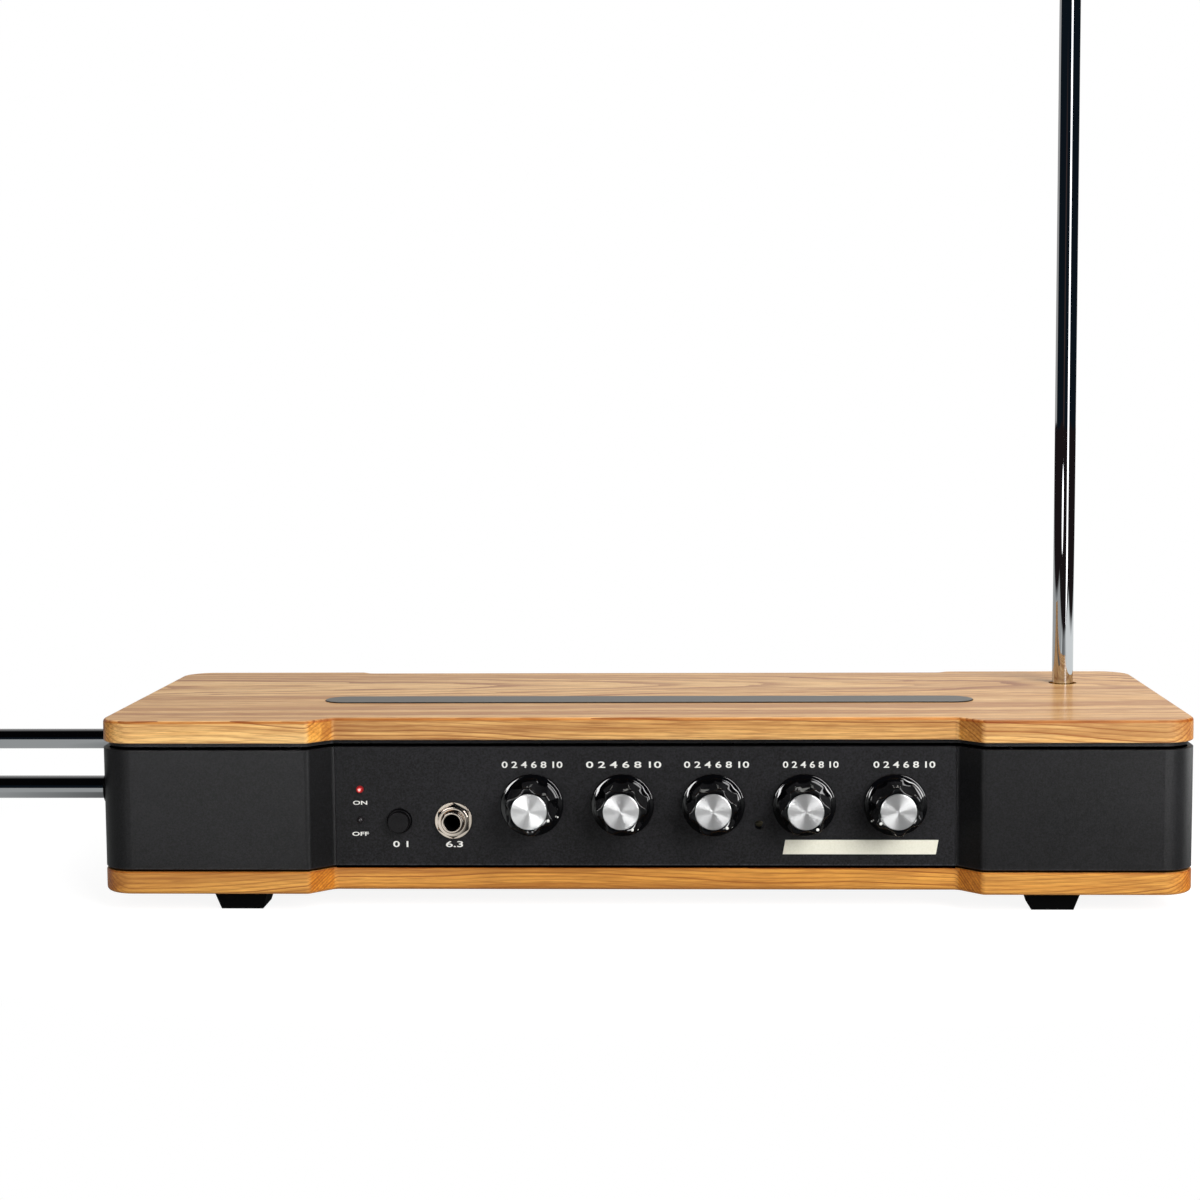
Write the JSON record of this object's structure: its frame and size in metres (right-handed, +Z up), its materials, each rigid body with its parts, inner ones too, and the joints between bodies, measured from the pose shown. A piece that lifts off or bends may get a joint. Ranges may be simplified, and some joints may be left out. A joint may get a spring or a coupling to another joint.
{
  "type": "theremin",
  "caption": "Tabletop theremin in a black case between wood plates, with an upright rod antenna, a flat loop antenna and a row of fluted dials.",
  "frame": {"origin": "centre of the stand socket's mouth, on the underside of the case", "axes": "+X to the right of a player who faces the dials, towards the rod; +Y away from the player; +Z up"},
  "size_m": [0.6878, 0.1729, 0.4957],
  "materials": {
    "wood_top": "satin lacquer",
    "wood_base": "satin lacquer",
    "strip_black": "satin",
    "liner_grey": "matt",
    "shell_black": "satin",
    "panel_black": "satin",
    "cream_plate": "satin",
    "steel": "plain",
    "plated_steel": "plated",
    "brass": "turned",
    "foot_rubber": "matt",
    "flange_grey": "as cast",
    "button_black": "matt",
    "lamp_red": "clear red",
    "trimmer_blue": "gloss",
    "jack_plastic": "matt",
    "bright_plate": "polished",
    "board_green": "solder mask",
    "coil_brown": "enamelled wire",
    "can_aluminium": "sleeved",
    "ribbon_grey": "satin",
    "antenna_chrome": "mirror polish",
    "lead_red": "satin",
    "knob_black": "gloss",
    "cap_aluminium": "spun"
  },
  "bodies": {
    "case": {"antenna_leads": "lead_red", "board_screws": "steel", "board_standoffs": "brass", "body_shell": "shell_black", "bottom_plate": "wood_base", "capacitors": "can_aluminium", "case_inserts": "brass", "case_screws": "steel", "circuit_chips": "jack_plastic", "control_board": "board_green", "front_panel": "panel_black", "inlay_strip": "strip_black", "loop_bushings": "foot_rubber", "main_board": "board_green", "mute_switch": "button_black", "nameplate": "cream_plate", "panel_lamps": "lamp_red", "phones_jack": "jack_plastic", "phones_jack_nut": "bright_plate", "phones_jack_washer": "bright_plate", "pitch_socket": "brass", "potentiometer_nuts": "plated_steel", "potentiometers": "plated_steel", "power_inlet": "jack_plastic", "rear_jacks": "jack_plastic", "rear_nuts": "bright_plate", "rear_panel": "panel_black", "rear_panel_screws": "steel", "ribbon_cable": "ribbon_grey", "rocker_frame": "button_black", "rubber_feet": "foot_rubber", "stand_flange": "flange_grey", "top_liner": "liner_grey", "top_plate": "wood_top", "trimmer_body": "trimmer_blue", "tuning_coils": "coil_brown", "volume_bracket": "plated_steel", "volume_sockets": "brass", "wood_screws": "steel"},
    "phones_dial": {"phones_knob": "knob_black", "phones_cap": "cap_aluminium", "phones_shaft": "plated_steel"},
    "volume_dial": {"volume_knob": "knob_black", "volume_cap": "cap_aluminium", "volume_shaft": "plated_steel"},
    "pitch_dial": {"pitch_knob": "knob_black", "pitch_cap": "cap_aluminium", "pitch_shaft": "plated_steel"},
    "waveform_dial": {"waveform_knob": "knob_black", "waveform_cap": "cap_aluminium", "waveform_shaft": "plated_steel"},
    "brightness_dial": {"brightness_knob": "knob_black", "brightness_cap": "cap_aluminium", "brightness_shaft": "plated_steel"},
    "mute_button": {"mute_button": "button_black"},
    "power_rocker": {"power_rocker": "button_black"},
    "trimmer_screw": {"trimmer_screw": "brass"},
    "pitch_antenna": {"pitch_antenna": "antenna_chrome"},
    "volume_antenna": {"volume_antenna": "antenna_chrome"}
  },
  "joints": [
    {"name": "phones_turn", "type": "hinge", "parent": "case", "child": "phones_dial", "pos_m": [-0.0472, -0.0729, 0.0364], "axis": [0, 1, 0], "range_deg": [-264.7, 35.3]},
    {"name": "volume_turn", "type": "hinge", "parent": "case", "child": "volume_dial", "pos_m": [-0.0092, -0.0729, 0.0364], "axis": [0, 1, 0], "range_deg": [-297.7, 2.3]},
    {"name": "pitch_turn", "type": "hinge", "parent": "case", "child": "pitch_dial", "pos_m": [0.0288, -0.0729, 0.0364], "axis": [0, 1, 0], "range_deg": [-289.5, 10.5]},
    {"name": "waveform_turn", "type": "hinge", "parent": "case", "child": "waveform_dial", "pos_m": [0.0668, -0.0729, 0.0364], "axis": [0, 1, 0], "range_deg": [-296.6, 3.4]},
    {"name": "brightness_turn", "type": "hinge", "parent": "case", "child": "brightness_dial", "pos_m": [0.1048, -0.0729, 0.0364], "axis": [0, 1, 0], "range_deg": [-26.6, 273.4]},
    {"name": "mute_press", "type": "slide", "parent": "case", "child": "mute_button", "axis": [0, 1, 0], "range_m": [0, 0.002], "stiffness_N_per_m": 400},
    {"name": "power_rock", "type": "hinge", "parent": "case", "child": "power_rocker", "pos_m": [-0.062, 0.0749, 0.0355], "axis": [1, 0, 0], "range_deg": [0, 16]},
    {"name": "trimmer_turn", "type": "hinge", "parent": "case", "child": "trimmer_screw", "pos_m": [0.048, -0.0667, 0.0278], "axis": [0, 1, 0], "range_deg": [-135, 135]},
    {"name": "rod_lift", "type": "slide", "parent": "case", "child": "pitch_antenna", "axis": [0, 0, 1], "range_m": [0, 0.06]},
    {"name": "loop_pull", "type": "slide", "parent": "case", "child": "volume_antenna", "axis": [-1, 0, 0], "range_m": [0, 0.045]}
  ]
}
